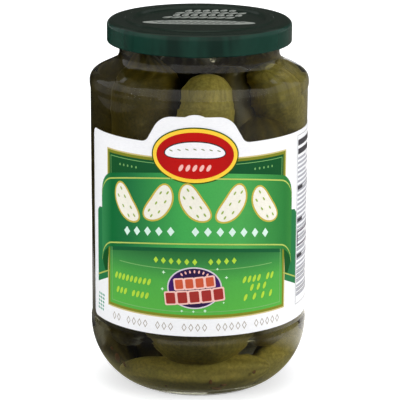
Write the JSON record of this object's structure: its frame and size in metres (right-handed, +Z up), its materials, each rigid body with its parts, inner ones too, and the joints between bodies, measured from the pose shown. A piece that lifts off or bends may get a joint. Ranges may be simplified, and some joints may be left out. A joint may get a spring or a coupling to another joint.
{
  "type": "pickle jar",
  "caption": "Round clear glass jar of whole pickles in brine, with a dark green lug cap and a wrap-round paper label.",
  "frame": {"origin": "centre of the circle on which the foot ring stands, at the height of its contact plane", "axes": "+Z up along the jar's axis, -Y towards the middle of the label's front"},
  "size_m": [0.0886, 0.0886, 0.1505],
  "materials": {
    "clear_glass": "clear flint glass, glossy, slightly wavy",
    "green_cap": "dark green glossy lacquer on tinplate",
    "pickles_and_brine": "olive green whole pickles in dark yellow-green brine",
    "printed_paper": "white coated paper with a green, gold and cream print, semi-gloss"
  },
  "bodies": {
    "root": {"glass_jar": "clear_glass", "lid": "green_cap", "brine": "pickles_and_brine", "label": "printed_paper"}
  },
  "joints": []
}
